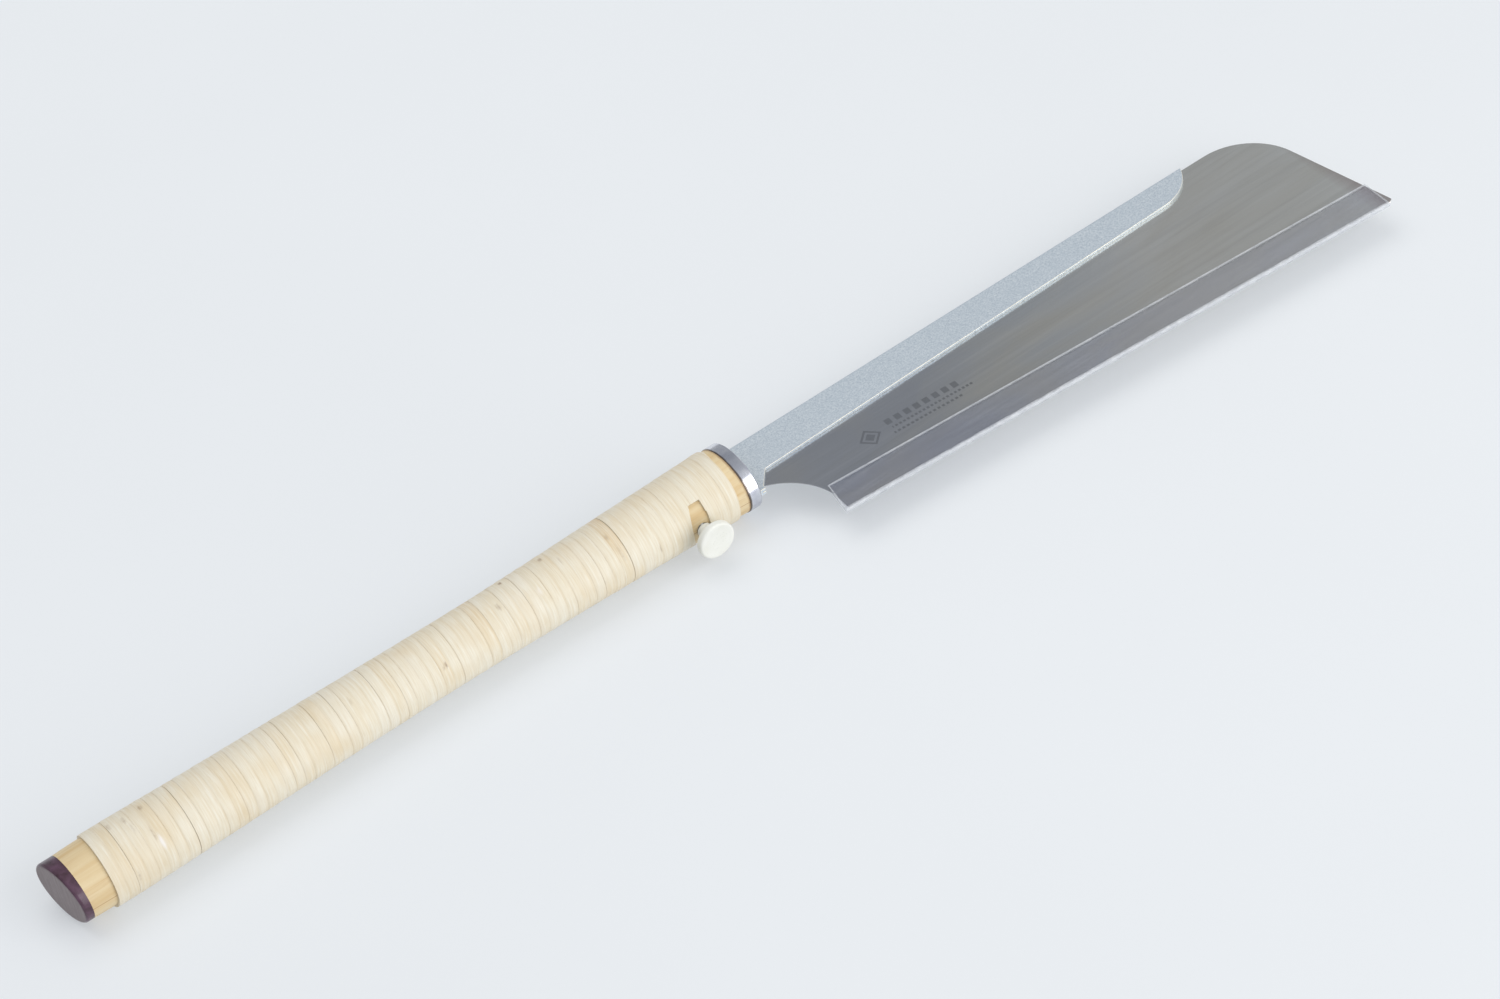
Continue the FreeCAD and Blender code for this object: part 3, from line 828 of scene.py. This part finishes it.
def make_guard():
    """Clear U channel over the teeth, drawn a little wavy, with white cut and folded edges."""
    ring, ring_looks = guard_profile()
    start, stop = reach("tooth_guard", ALONG)
    deep, _ = reach("tooth_guard", INWARD)
    slant = math.tan(math.radians(7.0))
    steps, columns = 90, len(ring)
    inset, wave_height = 0.35 * MM, 0.06 * MM
    stations = [0.0, inset] + [(stop - start) * i / steps for i in range(1, steps)]
    stations += [stop - start - inset, stop - start]
    points, faces, face_looks = [], [], []
    for station in stations:
        progress = station / (stop - start)
        wave = wave_height * noise.noise(Vector((station * 30, 0, 0))) * math.sin(math.pi * progress)
        for inward, across in ring:
            lean = (inward - deep) * slant * (1 - progress)
            place = ALONG * (start + station + lean) + INWARD * inward
            points.append(place + Vector((0, 0, AXIS_Z + across + wave)))
    for i in range(len(stations) - 1):
        for j in range(columns):
            k = (j + 1) % columns
            faces.append((i * columns + j, i * columns + k, (i + 1) * columns + k, (i + 1) * columns + j))
            at_end = i in (0, len(stations) - 2)
            face_looks.append("guard_edge" if at_end else ring_looks[j])
    faces.append(tuple(range(columns))[::-1])
    faces.append(tuple(range(len(points) - columns, len(points))))
    face_looks += ["guard_edge", "guard_edge"]
    mesh = mesh_from("guard_channel", points, faces)
    piece = new_piece("tooth_guard_channel", mesh, "guard", "guard_plastic", "guard", "guard_edge")
    for polygon, look in zip(mesh.polygons, face_looks):
        polygon.material_index = 1 if look == "guard_edge" else 0
    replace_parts(piece, "tooth_guard")


def dress_cad():
    """Better materials for the CAD nodes that keep their own shape."""
    looks = {
        "handle_half_upper": "wood", "handle_half_lower": "wood", "end_cap": "cap", "liner_pin": "hardware",
    }
    for node, look in looks.items():
        mesh = frame["nodes"][node].data
        mesh.materials.clear()
        mesh.materials.append(LOOKS[look])


# ---- Stage

def make_floor():
    bpy.ops.mesh.primitive_plane_add(size=8)
    floor = bpy.context.object
    floor.name = "tabletop"
    floor.data.materials.append(LOOKS["floor"])


def make_light(name, place, target, width, power, colour):
    """Square soft light that faces a point."""
    data = bpy.data.lights.new(name, "AREA")
    data.shape, data.size, data.energy, data.color = "SQUARE", width, power, colour
    lamp = bpy.data.objects.new(name, data)
    lamp.location = place
    lamp.rotation_euler = (Vector(place) - target).to_track_quat("Z", "Y").to_euler()
    bpy.context.scene.collection.objects.link(lamp)
    return lamp


def make_world():
    """Soft room light, brightest from the camera's side and dim from behind the saw."""
    world = bpy.data.worlds.new("studio")
    bpy.context.scene.world = world
    world.use_nodes = True
    tree = world.node_tree
    place = tree.nodes.new("ShaderNodeTexCoord")
    facing = tree.nodes.new("ShaderNodeVectorMath")
    facing.operation = "DOT_PRODUCT"
    facing.inputs[1].default_value = Vector((0.25, -0.75, 0.61)).normalized()
    ramp = tree.nodes.new("ShaderNodeValToRGB")
    tree.links.new(place.outputs["Generated"], facing.inputs[0])
    tree.links.new(facing.outputs["Value"], ramp.inputs["Fac"])
    stops = ramp.color_ramp.elements
    stops[0].position, stops[0].color = 0.0, (0.53, 0.55, 0.58, 1)
    stops[1].position, stops[1].color = 1.0, (0.96, 0.98, 1.0, 1)
    tree.links.new(ramp.outputs["Color"], tree.nodes["Background"].inputs["Color"])
    tree.nodes["Background"].inputs["Strength"].default_value = 0.8


def make_camera():
    """Portrait lens over the tooth side, from behind the butt, with the camera rolled a little."""
    azimuth, elevation, roll = math.radians(-28.64), math.radians(43.16), math.radians(-11.72)
    distance = 1.532
    aim = Vector((FERRULE_FRONT - 4.3 * MM, AXIS_Y - 13.7 * MM, AXIS_Z))
    level_back = Vector((math.sin(azimuth), -math.cos(azimuth), 0))
    back = level_back * math.cos(elevation) + Vector((0, 0, math.sin(elevation)))
    level_right = Vector((math.cos(azimuth), math.sin(azimuth), 0))
    level_up = back.cross(level_right)
    right = level_right * math.cos(roll) + level_up * math.sin(roll)
    up = back.cross(right)
    data = bpy.data.cameras.new("camera")
    data.sensor_width, data.lens = 36.0, 105.0
    data.clip_start, data.clip_end = 0.05, 20.0
    camera = bpy.data.objects.new("camera", data)
    turn = Matrix((right, up, back)).transposed().to_4x4()
    camera.matrix_world = Matrix.Translation(aim + back * distance) @ turn
    bpy.context.scene.collection.objects.link(camera)
    bpy.context.scene.camera = camera


make_camera()
make_floor()
make_world()
saw_middle = Vector((0, 0, 0.01))
make_light("key_softbox", (0.7, -1.5, 0.8), saw_middle, 1.6, 20.0, (1.0, 0.99, 0.98))
top_light = make_light("top_softbox", (-0.1, 0.7, 1.7), saw_middle, 1.6, 13.0, (1.0, 0.98, 0.94))
top_light.visible_glossy = False
bpy.context.scene.view_settings.view_transform = "Standard"

dress_cad()
for number, wrap in enumerate(WRAPS):
    cane_wrap(wrap, number)
make_ferrule()
make_knob()
make_screw()
make_blade()
make_guard()
softened("spine", "blade_unit", "spine_steel", "spine", 0.13 * MM)
softened("socket_liner", "handle", "hardware_steel", "hardware", 0.15 * MM)
softened("clamp_nut", "handle", "hardware_steel", "hardware", 0.25 * MM)
softened("clamp_shoe", "shoe", "hardware_steel", "hardware", 0.2 * MM)
